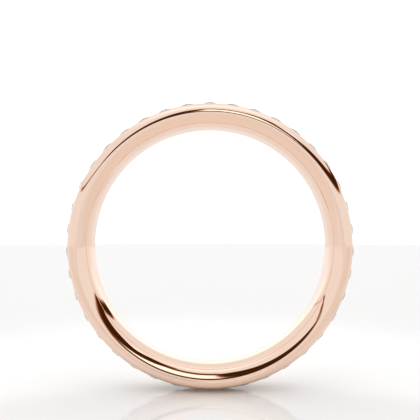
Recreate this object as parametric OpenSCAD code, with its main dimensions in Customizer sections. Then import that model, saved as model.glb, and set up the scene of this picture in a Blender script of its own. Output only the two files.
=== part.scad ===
// Full eternity wedding band: a polished comfort-fit band with round brilliants set all round it.
// The origin is the centre of the finger bore. +Y runs along the finger and +Z is up.
// stone_01 stands at the top, and the numbers run clockwise as seen from -Y.

/* [Band] */
// Inside diameter of the finger bore (16.56 is ring size 52)
inner_d = 16.56; // [15:0.02:20]
// Width of the band along the finger
band_w = 3; // [2.8:0.05:3.4]
// Thickness of the metal from the bore to the top of the rails
wall_t = 1.63; // [1.5:0.01:1.8]
// Length of the straight land in the middle of the bore
land_w = 0.8; // [0.4:0.1:1.2]
// Rise of the comfort curve from the land to the crease at the side
comfort_rise = 0.26; // [0.14:0.01:0.3]
// Radius the crease between the bore and the side is softened to
crease_soft = 0.5; // [0.2:0.05:0.5]

/* [Side and shoulder] */
// Radius of the rounded side, from the crease up to the shoulder
side_r = 1.4; // [1.3:0.05:1.6]
// How far the side leans in where the shoulder starts
side_tilt = 7; // [4:1:10]
// Radius of the shoulder between the side and the rail
shoulder_r = 0.63; // [0.55:0.01:0.65]
// Tilt of the shoulder where it meets the rail
shoulder_tilt = 74; // [68:1:76]
// How far below the rail the band is at its widest
front_drop = 0.66; // [0.64:0.01:0.7]

/* [Stones] */
// Diameter of each round brilliant
stone_d = 1.5; // [1.4:0.02:1.54]
// Smallest gap between neighbouring stones
stone_gap = 0.08; // [0.07:0.01:0.2]
// Height of the tables above the rails
stone_rise = 0.19; // [0.14:0.01:0.22]
// Width of the table as a share of the diameter
table_share = 0.57; // [0.53:0.01:0.6]
// Angle of the crown main facets
crown_angle = 34.5; // [33:0.5:35.5]
// Angle of the pavilion main facets
pavilion_angle = 40.7; // [40:0.1:41.6]
// How much further each stone is turned about its own axis than the one before it
stone_turn = 17; // [0:1:44]

/* [Setting] */
// Diameter of the beads that hold the stones
bead_d = 0.42; // [0.4:0.01:0.46]
// Distance of the beads from the middle of the band
bead_y = 0.47; // [0.45:0.01:0.5]
// Diameter of the hole drilled under each stone
drill_d = 0.84; // [0.6:0.02:0.9]

/* [Hidden] */
// Profile of the band, as [distance from the axis, distance along the finger]
bore_r = inner_d / 2;
rail_r = bore_r + wall_t;
crease_r = bore_r + comfort_rise;
channel_w = stone_d + 0.04;
channel_r = rail_r - 0.09;
rail_edge = [rail_r, channel_w / 2];
shoulder_centre = [rail_r - front_drop, band_w / 2 - shoulder_r];
side_centre = shoulder_centre + (side_r - shoulder_r) * [sin(side_tilt), -cos(side_tilt)];
crease_turn = asin((side_centre[0] - crease_r) / side_r);
crease_w = side_centre[1] + side_r * cos(crease_turn);
comfort_run = crease_w - land_w / 2;
comfort_r = (pow(comfort_run, 2) + pow(comfort_rise, 2)) / (2 * comfort_rise);
comfort_centre = [bore_r + comfort_r, land_w / 2];
centre_gap = comfort_centre - side_centre;
soft_side = side_r - crease_soft;
soft_comfort = comfort_r - crease_soft;
gap_squared = centre_gap * centre_gap;
soft_bend = acos((gap_squared + pow(soft_side, 2) - pow(soft_comfort, 2)) / (2 * norm(centre_gap) * soft_side));
soft_end = atan2(centre_gap[1], centre_gap[0]) + soft_bend;
soft_centre = side_centre + soft_side * [cos(soft_end), sin(soft_end)];
soft_start = atan2(soft_centre[1] - comfort_centre[1], soft_centre[0] - comfort_centre[0]);

// Round brilliant, measured upwards from the lower edge of its girdle
girdle_r = stone_d / 2;
girdle_t = 0.03 * stone_d;
table_r = girdle_r * table_share;
crown_h = (girdle_r - table_r) * tan(crown_angle);
pavilion_h = girdle_r * tan(pavilion_angle);
half_step = 22.5;
star_r = (girdle_r + table_r * cos(half_step)) / 2;
star_z = girdle_t + (girdle_r - star_r * cos(half_step)) * tan(crown_angle);
lower_r = 0.23 * girdle_r;
lower_z = lower_r * cos(half_step) * tan(pavilion_angle) - pavilion_h;

// Row of stones
girdle_place = rail_r + stone_rise - crown_h - girdle_t;
stone_count = floor(2 * PI * (girdle_place + girdle_t / 2) / (stone_d + stone_gap));
pitch = 360 / stone_count;
clear = 0.006;
bead_place = rail_r - 0.12;

function stone_name(i) = str("stone_", i < 10 ? "0" : "", i);
function arc(centre, r, from, to, steps) =
    [for (i = [0:steps]) let (a = from + (to - from) * i / steps) centre + r * [cos(a), sin(a)]];
function mirrored(points) = [for (i = [len(points) - 1:-1:0]) [points[i][0], -points[i][1]]];
function ring(r, z, from, step, count) =
    [for (i = [0:count - 1]) let (a = from + step * i) [r * cos(a), r * sin(a), z]];

$fn = 96;

// Half of the band's section, from the middle of the bore over the side to the stone channel
half_profile = concat(
    arc(comfort_centre, comfort_r, 180, soft_start + 1, 4),
    arc(soft_centre, crease_soft, soft_start, soft_end, 4),
    arc(side_centre, side_r, soft_end - 4, 90 + side_tilt, 6),
    arc(shoulder_centre, shoulder_r, 82 + side_tilt, 90 - shoulder_tilt, 9),
    [rail_edge, [channel_r, channel_w / 2]]);

// Puts a child made upright at the origin at one place in the row, pointing away from the axis
module in_row(place, height) {
    rotate([0, pitch * (place - 1), 0]) translate([0, 0, height]) children();
}

// Seat of one stone: the drilled hole, the bearing under the girdle, and room for the crown
module seat() {
    $fn = 48;
    bearing_h = (girdle_r - drill_d / 2) * -lower_z / (girdle_r - lower_r);
    translate([0, 0, -pavilion_h - 0.12]) cylinder(h = pavilion_h, d = drill_d);
    translate([0, 0, -bearing_h]) cylinder(h = bearing_h, r1 = drill_d / 2 + clear, r2 = girdle_r + clear);
    cylinder(h = girdle_t, r = girdle_r + clear);
    translate([0, 0, girdle_t])
        cylinder(h = star_z - girdle_t, r1 = girdle_r + clear, r2 = star_r + clear);
    translate([0, 0, star_z]) cylinder(h = crown_h, r = star_r + clear);
}

// Cast band with the beads raised from it, shared by the stones on each side of them
module band() {
    color([0.93, 0.74, 0.62]) difference() {
        union() {
            rotate([90, 0, 0]) rotate_extrude() polygon(concat(half_profile, mirrored(half_profile)));
            for (i = [1:stone_count], side = [-1, 1])
                in_row(i + 0.5, bead_place) translate([0, side * bead_y, 0]) sphere(d = bead_d, $fn = 24);
        }
        for (i = [1:stone_count]) in_row(i, girdle_place) seat();
    }
}

// Round brilliant of 57 facets with a thin girdle, its table facing away from the axis
module brilliant() {
    points = concat(
        ring(table_r, girdle_t + crown_h, 0, 45, 8), ring(star_r, star_z, half_step, 45, 8),
        ring(girdle_r, girdle_t, 0, half_step, 16), ring(girdle_r, 0, 0, half_step, 16),
        ring(lower_r, lower_z, half_step, 45, 8), [[0, 0, -pavilion_h]]);
    star = 8;
    top = 16;
    bottom = 32;
    lower = 48;
    culet = 56;
    faces = concat(
        [[for (k = [7:-1:0]) k]],
        [for (k = [0:7]) let (n = (k + 1) % 8) each [
            [k, n, star + k],
            [k, star + k, top + 2 * k, star + (k + 7) % 8],
            [star + k, top + 2 * k + 1, top + 2 * k],
            [star + k, top + 2 * n, top + 2 * k + 1],
            [lower + k, bottom + 2 * k, bottom + 2 * k + 1],
            [lower + k, bottom + 2 * k + 1, bottom + 2 * n],
            [culet, lower + (k + 7) % 8, bottom + 2 * k, lower + k]]],
        [for (k = [0:15]) let (n = (k + 1) % 16) [top + k, top + n, bottom + n, bottom + k]]);
    polyhedron(points, faces);
}

module stone(i) {
    color([0.88, 0.91, 0.95]) in_row(i, girdle_place) rotate([0, 0, stone_turn * i]) brilliant();
}

band();
for (i = [1:stone_count]) stone(i);
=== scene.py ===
"""Full eternity wedding band in polished rose gold with 39 round brilliants, on a white acrylic floor."""
import math

import bmesh
import bpy
from mathutils import Matrix, Vector, geometry


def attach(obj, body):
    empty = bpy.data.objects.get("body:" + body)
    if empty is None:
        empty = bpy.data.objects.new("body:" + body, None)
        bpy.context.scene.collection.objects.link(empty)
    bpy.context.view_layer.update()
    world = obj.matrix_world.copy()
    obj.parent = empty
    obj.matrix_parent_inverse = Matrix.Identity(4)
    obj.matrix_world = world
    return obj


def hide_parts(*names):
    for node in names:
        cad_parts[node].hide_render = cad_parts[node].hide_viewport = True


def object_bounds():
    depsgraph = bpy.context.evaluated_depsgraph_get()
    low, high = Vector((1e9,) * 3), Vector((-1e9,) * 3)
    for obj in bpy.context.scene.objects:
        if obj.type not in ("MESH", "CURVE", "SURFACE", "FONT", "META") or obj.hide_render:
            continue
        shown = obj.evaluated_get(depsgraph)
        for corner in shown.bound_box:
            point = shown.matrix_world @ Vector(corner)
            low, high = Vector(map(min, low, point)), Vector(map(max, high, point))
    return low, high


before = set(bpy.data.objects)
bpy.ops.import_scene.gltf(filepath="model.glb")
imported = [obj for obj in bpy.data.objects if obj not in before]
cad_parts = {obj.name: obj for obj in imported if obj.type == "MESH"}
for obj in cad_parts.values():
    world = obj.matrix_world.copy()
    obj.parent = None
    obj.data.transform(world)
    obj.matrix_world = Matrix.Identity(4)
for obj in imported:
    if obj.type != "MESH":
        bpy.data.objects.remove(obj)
cad_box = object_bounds()

MM = 0.001
scene = bpy.context.scene
floor_z = cad_box[0][2]


# ---------------------------------------------------------------- camera
# The studio camera, level and just above the middle of the bore, looking straight along the finger.
# The lens is raised in its mount, which leaves more white above the ring.
CAMERA_DISTANCE = 36 * MM
CAMERA_HEIGHT = 1.08 * MM
SENSOR = 36
LENS_PER_SENSOR = 1.206

camera_data = bpy.data.cameras.new("camera")
camera_data.sensor_width = SENSOR
camera_data.lens = SENSOR * LENS_PER_SENSOR
camera_data.shift_y = 0.0488
camera_data.clip_start = 0.1 * MM
camera_data.clip_end = 10
camera = bpy.data.objects.new("camera", camera_data)
camera.location = (0, -CAMERA_DISTANCE, CAMERA_HEIGHT)
camera.rotation_euler = (math.radians(90), 0, 0)
scene.collection.objects.link(camera)
scene.camera = camera
scene.view_settings.view_transform = "Standard"
scene.view_settings.look = "None"


# ---------------------------------------------------------------- studio
# A white light tent with a bright backdrop behind the ring. Behind the camera hang dark cards with
# two small softboxes between them: polished gold shows them as its dark strokes and highlights.
class Wire:
    """The output of a shader node. Operators on it add Math nodes, and node() adds any other."""

    def __init__(self, tree, socket=None):
        self.tree = tree
        self.socket = socket

    def node(self, kind, settings=None, inputs=None, output=0):
        made = self.tree.nodes.new(kind)
        for name, value in (settings or {}).items():
            setattr(made, name, value)
        for name, value in (inputs or {}).items():
            if isinstance(value, Wire):
                self.tree.links.new(value.socket, made.inputs[name])
            else:
                made.inputs[name].default_value = value
        return Wire(self.tree, made.outputs[output] if len(made.outputs) else None)

    def maths(self, operation, *others):
        values = dict(enumerate((self,) + others))
        return self.node("ShaderNodeMath", {"operation": operation}, values)

    def __add__(self, other):
        return self.maths("ADD", other)

    def __sub__(self, other):
        return self.maths("SUBTRACT", other)

    def __rsub__(self, other):
        return self.node("ShaderNodeMath", {"operation": "SUBTRACT"}, {0: other, 1: self})

    def __mul__(self, other):
        return self.maths("MULTIPLY", other)

    def __truediv__(self, other):
        return self.maths("DIVIDE", other)

    __radd__ = __add__
    __rmul__ = __mul__

    def rise(self, start, end):
        """0 up to start, 1 from end, and a smooth curve between. With start above end it falls."""
        limits = {"Value": self, "From Min": start, "From Max": end}
        return self.node("ShaderNodeMapRange", {"interpolation_type": "SMOOTHSTEP"}, limits)

    def between(self, low, high, soft):
        """1 from low to high, with a smooth edge of the width soft around each."""
        inside = (self - low).rise(-soft / 2, soft / 2)
        return inside * (self - high).rise(soft / 2, -soft / 2)

    def either(self, other):
        """The larger of two masks."""
        return self.maths("MAXIMUM", other)

    def mix(self, base, blend):
        """base where this mask is 0, and blend where it is 1."""
        settings = {"data_type": "RGBA"}
        return self.node("ShaderNodeMix", settings, {0: self, 6: base, 7: blend}, output=2)


TENT = (0.965, 0.965, 0.965, 1)
CEILING = (1.32, 1.32, 1.32, 1)
BACK_CEILING = (1.08, 1.08, 1.08, 1)
HORIZON = (1.05, 1.05, 1.05, 1)
BACKDROP = (1.3, 1.3, 1.3, 1)
UPPER_BACKDROP = (0.95, 0.95, 0.95, 1)
PLAIN_WHITE = (1.2, 1.2, 1.2, 1)
SOFTBOX = (1.5, 1.5, 1.4, 1)
CARD = (0.046, 0.017, 0.003, 1)
CARD_EDGE = (0.42, 0.14, 0.03, 1)

world = bpy.data.worlds.new("light_tent")
world.use_nodes = True
world.node_tree.nodes.clear()
tent = Wire(world.node_tree)
direction = tent.node("ShaderNodeTexCoord", output="Generated")
apart = direction.node("ShaderNodeSeparateXYZ", inputs={0: direction}).socket.node
to_right, to_back, to_top = (Wire(world.node_tree, socket) for socket in apart.outputs)
# Bearing is 0 behind the camera and 90 on its right, and height is the angle above the horizon.
bearing = to_right.maths("ARCTAN2", 0 - to_back).maths("DEGREES")
height = to_top.maths("ARCSINE").maths("DEGREES")
off_centre = bearing.maths("ABSOLUTE")
# The lower edge of the cards is low behind the camera, rises to the sides of the tent and sinks
# again towards the backdrop.
card_foot = 24 - 22 * (off_centre / -40).maths("EXPONENT") - 15 * off_centre.rise(110, 180)
right_top = 30 - 18 * off_centre.rise(120, 170)
right_card = bearing.between(11, 147, 14) * height.between(card_foot, right_top, 5)
middle_card = bearing.between(13, 26, 4) * height.between(25, 40, 4)
left_edge = 0.55 * height - 27
left_card = bearing.between(left_edge, -1.5, 3) * height.between(card_foot, 34, 4)
rod_depth = 0.75 - 0.48 * off_centre.rise(60, 90)
left_rod = rod_depth * bearing.between(-145, -18, 20) * height.between(card_foot, card_foot + 2, 2)
top_rod = 0.8 * bearing.between(-3, 14, 3) * height.between(28, 37, 5)
foot_rod = bearing.between(-20, 14, 6) * height.between(card_foot, 9.5, 3)
cards = right_card.either(middle_card).either(left_card)
cards = cards.either(left_rod).either(top_rod).either(foot_rod)
key_box = bearing.between(-1, 12, 2) * height.between(11, 27, 3)
side_box = bearing.between(26, 35, 3) * height.between(30, 38, 3)
# The backdrop is brightest just below its upper edge, and a little dimmer at the horizon.
behind = off_centre.rise(110, 150)
lower_backdrop = height.rise(2, 10).mix(HORIZON, BACKDROP)
backdrop = height.rise(18.2, 16.6).mix(UPPER_BACKDROP, lower_backdrop)
light = behind.mix(TENT, backdrop)
light = height.rise(46, 76).mix(light, behind.mix(CEILING, BACK_CEILING))
light = key_box.either(side_box).mix(light, SOFTBOX)
seen_cards = cards * (1 - key_box.either(side_box))
card_light = seen_cards.rise(0.35, 1).mix(CARD_EDGE, CARD)
light = seen_cards.rise(0, 0.6).mix(light, card_light)
in_view = tent.node("ShaderNodeLightPath", output="Is Camera Ray")
light = in_view.mix(light, PLAIN_WHITE)
background = light.node("ShaderNodeBackground", inputs={"Color": light})
background.node("ShaderNodeOutputWorld", inputs={"Surface": background})
scene.world = world


# ---------------------------------------------------------------- floor
# A sheet of white acrylic that stands in for the studio table. It is polished where the ring
# stands and matte further out, where the tent's cards would show in it.
FLOOR_R = 400 * MM
DULL_WHITE = (0.96, 0.96, 0.96, 1)
CLEAR_WHITE = (0.97, 0.97, 0.97, 1)
# The warm white is a painted glow of light from the gold, not the acrylic's own colour.
PAINTED_GLOW_WHITE = (0.99, 0.95, 0.90, 1)
CREAM = (0.94, 0.88, 0.81, 1)

floor_bm = bmesh.new()
bmesh.ops.create_circle(floor_bm, cap_ends=True, segments=96, radius=FLOOR_R)
bmesh.ops.translate(floor_bm, verts=floor_bm.verts, vec=(0, 0, floor_z))
floor_mesh = bpy.data.meshes.new("floor")
floor_bm.to_mesh(floor_mesh)
floor_bm.free()
floor = bpy.data.objects.new("floor", floor_mesh)
scene.collection.objects.link(floor)


def new_material(name):
    """An empty node material, and the Wire that its nodes start from."""
    material = bpy.data.materials.new(name)
    material.use_nodes = True
    material.node_tree.nodes.clear()
    return material, Wire(material.node_tree)


def finish_material(shader):
    shader.node("ShaderNodeOutputMaterial", inputs={"Surface": shader})


acrylic, start = new_material("white_acrylic")
place = start.node("ShaderNodeTexCoord", output="Object")
haze = start.node("ShaderNodeTexNoise", inputs={"Vector": place, "Scale": 90.0})
apart = place.node("ShaderNodeSeparateXYZ", inputs={0: place}).socket.node
across, along, _ = (Wire(acrylic.node_tree, socket) for socket in apart.outputs)
white = haze.mix(DULL_WHITE, CLEAR_WHITE)
# A cream cloth lies towards the camera, where only the polished gold shows it. It leaves a white
# sheet free in the middle.
from_middle = across.maths("ABSOLUTE") + 0.65 * along
sheet = along.rise(-70 * MM, -100 * MM) * from_middle.rise(6 * MM, -6 * MM)
from_ring = (across * across + along * along).maths("SQRT")
cloth = along.rise(-8 * MM, -10 * MM)
cream = cloth * from_ring.rise(330 * MM, 250 * MM) * (1 - sheet)
# A faint warm glow of light from the gold is painted into the acrylic's colour around the place where the
# ring stands.
painted_glow = (across * across + 4 * along * along).maths("SQRT").rise(9 * MM, 1 * MM)
gloss = start.node("ShaderNodeBsdfPrincipled", inputs={
    "Base Color": painted_glow.mix(cream.mix(white, CREAM), PAINTED_GLOW_WHITE),
    "Roughness": 0.03 + 0.02 * haze + 0.5 * from_ring.rise(12 * MM, 40 * MM).either(cloth),
    "IOR": 1.5})
finish_material(gloss)
floor_mesh.materials.append(acrylic)


# ---------------------------------------------------------------- band
# One casting in 18 carat rose gold, turned and polished: a comfort-fit bore, rounded sides that meet
# it in a soft crease, and two rails with a channel between them. The stone seats are drilled, and
# the beads that hold the stones are raised from the metal of the channel.
BORE_R = 8.28 * MM
LAND_W = 0.8 * MM
COMFORT_RISE = 0.26 * MM
CREASE_SOFT = 0.5 * MM
BAND_W = 3.0 * MM
RAIL_R = 9.91 * MM
SIDE_R = 1.4 * MM
SIDE_LEAN = math.radians(7)
SHOULDER_R = 0.63 * MM
SHOULDER_TILT = math.radians(74)
FRONT_DROP = 0.66 * MM
CHANNEL_W = 1.54 * MM
CHANNEL_DEPTH = 0.09 * MM
EDGE = 0.03 * MM
STONE_COUNT = 39
TURN = 2 * math.pi / STONE_COUNT
STEPS_PER_STONE = 10


def arc(centre, radius, start, end, steps):
    """Points on a circle in the section, each as (distance from the axis, distance along the finger)."""
    angles = [start + (end - start) * i / steps for i in range(steps + 1)]
    return [centre + radius * Vector((math.cos(a), math.sin(a))) for a in angles]


QUARTER = math.pi / 2
shoulder_centre = Vector((RAIL_R - FRONT_DROP, BAND_W / 2 - SHOULDER_R))
lean = Vector((math.sin(SIDE_LEAN), -math.cos(SIDE_LEAN)))
side_centre = shoulder_centre + (SIDE_R - SHOULDER_R) * lean
crease_r = BORE_R + COMFORT_RISE
crease_turn = math.asin((side_centre.x - crease_r) / SIDE_R)
comfort_run = side_centre.y + SIDE_R * math.cos(crease_turn) - LAND_W / 2
comfort_r = (comfort_run ** 2 + COMFORT_RISE ** 2) / (2 * COMFORT_RISE)
comfort_centre = Vector((BORE_R + comfort_r, LAND_W / 2))
# The crease is softened by a small arc that touches the comfort curve and the side.
soft_side = SIDE_R - CREASE_SOFT
gap = comfort_centre - side_centre
soft_comfort = comfort_r - CREASE_SOFT
bend = math.acos((gap.length ** 2 + soft_side ** 2 - soft_comfort ** 2) / (2 * gap.length * soft_side))
soft_end = math.atan2(gap.y, gap.x) + bend
soft_centre = side_centre + soft_side * Vector((math.cos(soft_end), math.sin(soft_end)))
inward = soft_centre - comfort_centre
soft_start = math.atan2(inward.y, inward.x)

half_section = [Vector((BORE_R, 0))]
half_section += arc(comfort_centre, comfort_r, math.pi, soft_start, 12)
half_section += arc(soft_centre, CREASE_SOFT, soft_start, soft_end, 14)[1:]
half_section += arc(side_centre, SIDE_R, soft_end, QUARTER + SIDE_LEAN, 14)[1:]
half_section += arc(shoulder_centre, SHOULDER_R, QUARTER + SIDE_LEAN, QUARTER - SHOULDER_TILT, 18)[1:]
half_section += arc(Vector((RAIL_R - EDGE, CHANNEL_W / 2 + EDGE)), EDGE, 0, -QUARTER, 4)
half_section += [Vector((RAIL_R - CHANNEL_DEPTH, CHANNEL_W / 2)), Vector((RAIL_R - CHANNEL_DEPTH, 0))]
other_half = [Vector((p.x, -p.y)) for p in reversed(half_section[1:-1])]

band_bm = bmesh.new()
corners = [band_bm.verts.new((p.x, p.y, 0)) for p in half_section + other_half]
outline = [band_bm.edges.new((corners[i - 1], corners[i])) for i in range(len(corners))]
bmesh.ops.spin(band_bm, geom=corners + outline, axis=(0, 1, 0), cent=(0, 0, 0), angle=2 * math.pi,
               steps=STONE_COUNT * STEPS_PER_STONE, use_merge=True)
bmesh.ops.remove_doubles(band_bm, verts=band_bm.verts, dist=0.0001 * MM)
bmesh.ops.recalc_face_normals(band_bm, faces=band_bm.faces)


def new_piece(bm, name):
    """The finished piece of a bmesh, linked into the scene."""
    mesh = bpy.data.meshes.new(name)
    bm.to_mesh(mesh)
    bm.free()
    piece = bpy.data.objects.new(name, mesh)
    scene.collection.objects.link(piece)
    return piece


def in_row(place, height):
    """The matrix that puts an upright shape at one place in the row, pointing away from the axis."""
    return Matrix.Rotation(TURN * place, 4, "Y") @ Matrix.Translation((0, 0, height))


# A round brilliant, measured upwards from the lower edge of its girdle.
STONE_D = 1.5 * MM
GIRDLE_R = STONE_D / 2
GIRDLE_T = 0.03 * STONE_D
STONE_RISE = 0.19 * MM
TABLE_R = 0.57 * GIRDLE_R
CROWN_SLOPE = math.tan(math.radians(34.5))
PAVILION_SLOPE = math.tan(math.radians(40.7))
CROWN_H = (GIRDLE_R - TABLE_R) * CROWN_SLOPE
PAVILION_H = GIRDLE_R * PAVILION_SLOPE
HALF_STEP = math.pi / 8
STAR_R = (GIRDLE_R + TABLE_R * math.cos(HALF_STEP)) / 2
STAR_Z = GIRDLE_T + (GIRDLE_R - STAR_R * math.cos(HALF_STEP)) * CROWN_SLOPE
LOWER_R = 0.23 * GIRDLE_R
LOWER_Z = LOWER_R * math.cos(HALF_STEP) * PAVILION_SLOPE - PAVILION_H
GIRDLE_PLACE = RAIL_R + STONE_RISE - CROWN_H - GIRDLE_T

BEAD_R = 0.21 * MM
BEAD_Y = 0.47 * MM
BEAD_PLACE = RAIL_R - 0.12 * MM
DRILL_R = 0.42 * MM
DRILL_END = -PAVILION_H - 0.12 * MM
CLEAR = 0.006 * MM

beads_bm = bmesh.new()
for stone in range(STONE_COUNT):
    for side in (-1, 1):
        bead = in_row(stone + 0.5, BEAD_PLACE) @ Matrix.Translation((0, side * BEAD_Y, 0))
        bmesh.ops.create_uvsphere(beads_bm, u_segments=20, v_segments=14, radius=BEAD_R, matrix=bead)

# The seat is the drilled hole, the bearing cut under the girdle, and the room for the crown.
bearing_h = (GIRDLE_R - DRILL_R) * -LOWER_Z / (GIRDLE_R - LOWER_R)
seat_outline = [
    (0, DRILL_END), (DRILL_R, DRILL_END), (DRILL_R + CLEAR, -bearing_h),
    (GIRDLE_R + CLEAR, 0), (GIRDLE_R + CLEAR, GIRDLE_T), (STAR_R + CLEAR, STAR_Z),
    (STAR_R + CLEAR, STAR_Z + CROWN_H), (0, STAR_Z + CROWN_H)]
seats_bm = bmesh.new()
for stone in range(STONE_COUNT):
    ring = [seats_bm.verts.new((r, 0, z)) for r, z in seat_outline]
    lines = [seats_bm.edges.new(pair) for pair in zip(ring, ring[1:])]
    known = set(seats_bm.verts) - set(ring)
    bmesh.ops.spin(seats_bm, geom=ring + lines, axis=(0, 0, 1), cent=(0, 0, 0), angle=2 * math.pi,
                   steps=40, use_merge=True)
    fresh = [v for v in seats_bm.verts if v not in known]
    bmesh.ops.transform(seats_bm, matrix=in_row(stone, GIRDLE_PLACE), verts=fresh)
bmesh.ops.remove_doubles(seats_bm, verts=seats_bm.verts, dist=0.0001 * MM)
bmesh.ops.recalc_face_normals(seats_bm, faces=seats_bm.faces)

blank = new_piece(band_bm, "band_blank")
beads = new_piece(beads_bm, "beads")
seats = new_piece(seats_bm, "seats")
# The beads are raised first, and the seats are then drilled through the channel and the beads.
for tool, operation in ((beads, "UNION"), (seats, "DIFFERENCE")):
    cut = blank.modifiers.new(tool.name, "BOOLEAN")
    cut.operation = operation
    cut.solver = "EXACT"
    cut.object = tool
finished = bpy.data.meshes.new_from_object(blank.evaluated_get(bpy.context.evaluated_depsgraph_get()))
gold_band = bpy.data.objects.new("gold_band", finished)
scene.collection.objects.link(gold_band)
for tool in (blank, beads, seats):
    bpy.data.objects.remove(tool)
finished.shade_smooth()
finished.set_sharp_from_angle(angle=math.radians(22))

ROSE_GOLD = (0.91, 0.69, 0.57, 1)
PALE_GOLD = (0.93, 0.70, 0.575, 1)
rose_gold, start = new_material("polished_rose_gold")
place = start.node("ShaderNodeTexCoord", output="Object")
tone = start.node("ShaderNodeTexNoise", inputs={"Vector": place, "Scale": 700.0})
apart = place.node("ShaderNodeSeparateXYZ", inputs={0: place}).socket.node
across, along, up = (Wire(rose_gold.node_tree, socket) for socket in apart.outputs)
from_axis = (across * across + up * up).maths("SQRT")
# The buffing wheel leaves fine hairlines that run round the band.
turning = start.node("ShaderNodeCombineXYZ", inputs={0: from_axis, 1: along, 2: 0.02 * across})
hairlines = start.node("ShaderNodeTexNoise", inputs={"Vector": turning, "Scale": 24000.0, "Detail": 3.0})
relief = start.node("ShaderNodeBump", inputs={
    "Height": hairlines, "Strength": 0.012, "Distance": 0.01 * MM})
polish = start.node("ShaderNodeBsdfPrincipled", inputs={
    "Base Color": tone.mix(ROSE_GOLD, PALE_GOLD),
    "Metallic": 1.0,
    "Roughness": 0.02 + 0.02 * tone + 0.02 * hairlines,
    "Normal": relief})
finish_material(polish)
finished.materials.clear()
finished.materials.append(rose_gold)
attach(gold_band, "root")
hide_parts("band")


# ---------------------------------------------------------------- stones
# 39 round brilliants of 1.5 mm, each cut with 57 facets on a bruted girdle. Each one sits on its own
# bearing and is held by four beads, which it shares with its neighbours.
INSIDE = Vector((0, 0, 0.1 * MM))


def facet(bm, points):
    """Grinds one flat facet through three points and removes what lies outside it."""
    normal = geometry.normal(points)
    if normal.dot(points[0] - INSIDE) < 0:
        normal.negate()
    everything = bm.verts[:] + bm.edges[:] + bm.faces[:]
    bmesh.ops.bisect_plane(bm, geom=everything, plane_co=points[0], plane_no=normal, clear_outer=True,
                           dist=0.00001 * MM)
    rim = [edge for edge in bm.edges if edge.is_boundary]
    bmesh.ops.edgeloop_fill(bm, edges=rim)


def meet(radius, z, steps):
    """A point where facets meet, the given number of sixteenths of a turn round."""
    angle = steps * HALF_STEP
    return Vector((radius * math.cos(angle), radius * math.sin(angle), z))


rough_h = PAVILION_H + GIRDLE_T + CROWN_H
brilliant_bm = bmesh.new()
rough_place = Matrix.Translation((0, 0, rough_h / 2 - PAVILION_H))
bmesh.ops.create_cone(brilliant_bm, cap_ends=True, segments=64, radius1=GIRDLE_R, radius2=GIRDLE_R,
                      depth=rough_h, matrix=rough_place)
# The main facets of the crown and the pavilion are ground first.
for main in range(0, 16, 2):
    girdle_top, girdle_foot = meet(GIRDLE_R, GIRDLE_T, main), meet(GIRDLE_R, 0, main)
    facet(brilliant_bm, (girdle_top, meet(STAR_R, STAR_Z, main - 1), meet(STAR_R, STAR_Z, main + 1)))
    facet(brilliant_bm, (girdle_foot, meet(LOWER_R, LOWER_Z, main - 1),
                         meet(LOWER_R, LOWER_Z, main + 1)))
# The star facets and the halves above and below the girdle follow.
table_z = GIRDLE_T + CROWN_H
for main in range(0, 16, 2):
    facet(brilliant_bm, (meet(TABLE_R, table_z, main), meet(TABLE_R, table_z, main + 2),
                         meet(STAR_R, STAR_Z, main + 1)))
    for near, far in ((main, main + 1), (main + 2, main + 1)):
        facet(brilliant_bm, (meet(GIRDLE_R, GIRDLE_T, near), meet(GIRDLE_R, GIRDLE_T, far),
                             meet(STAR_R, STAR_Z, main + 1)))
        facet(brilliant_bm, (meet(GIRDLE_R, 0, near), meet(GIRDLE_R, 0, far),
                             meet(LOWER_R, LOWER_Z, main + 1)))
bmesh.ops.remove_doubles(brilliant_bm, verts=brilliant_bm.verts, dist=0.0001 * MM)
bmesh.ops.recalc_face_normals(brilliant_bm, faces=brilliant_bm.faces)
# The upright faces are the girdle, which is left bruted.
for face in brilliant_bm.faces:
    face.material_index = int(abs(face.normal.z) < 0.1)

diamond, start = new_material("diamond")
place = start.node("ShaderNodeTexCoord", output="Object")
clouds = start.node("ShaderNodeTexNoise", inputs={"Vector": place, "Scale": 900.0})
# The stones also get a faint white emission, a painted glow that brightens them though they are no lamp.
stone_shader_with_painted_glow = start.node("ShaderNodeBsdfPrincipled", inputs={
    "Base Color": clouds.mix((0.86, 0.88, 0.91, 1), (0.92, 0.93, 0.94, 1)),
    "Roughness": 0.0,
    "IOR": 2.417,
    "Transmission Weight": 1.0,
    "Emission Color": (1.0, 1.0, 1.0, 1),
    "Emission Strength": 0.02})
finish_material(stone_shader_with_painted_glow)
bruted, start = new_material("bruted_girdle")
place = start.node("ShaderNodeTexCoord", output="Object")
grain = start.node("ShaderNodeTexNoise", inputs={"Vector": place, "Scale": 40000.0})
frosted = start.node("ShaderNodeBsdfPrincipled", inputs={
    "Base Color": (0.95, 0.96, 1.0, 1),
    "Roughness": 0.25 + 0.2 * grain,
    "IOR": 2.417,
    "Transmission Weight": 1.0})
finish_material(frosted)

STONE_TURN = math.radians(17)
for number in range(STONE_COUNT):
    name = "stone_%02d" % (number + 1)
    stone_bm = brilliant_bm.copy()
    turned = Matrix.Rotation(STONE_TURN * (number + 1), 4, "Z")
    bmesh.ops.transform(stone_bm, matrix=in_row(number, GIRDLE_PLACE) @ turned, verts=stone_bm.verts)
    stone = new_piece(stone_bm, "diamond_%02d" % (number + 1))
    stone.data.materials.append(diamond)
    stone.data.materials.append(bruted)
    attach(stone, "root")
    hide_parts(name)
brilliant_bm.free()
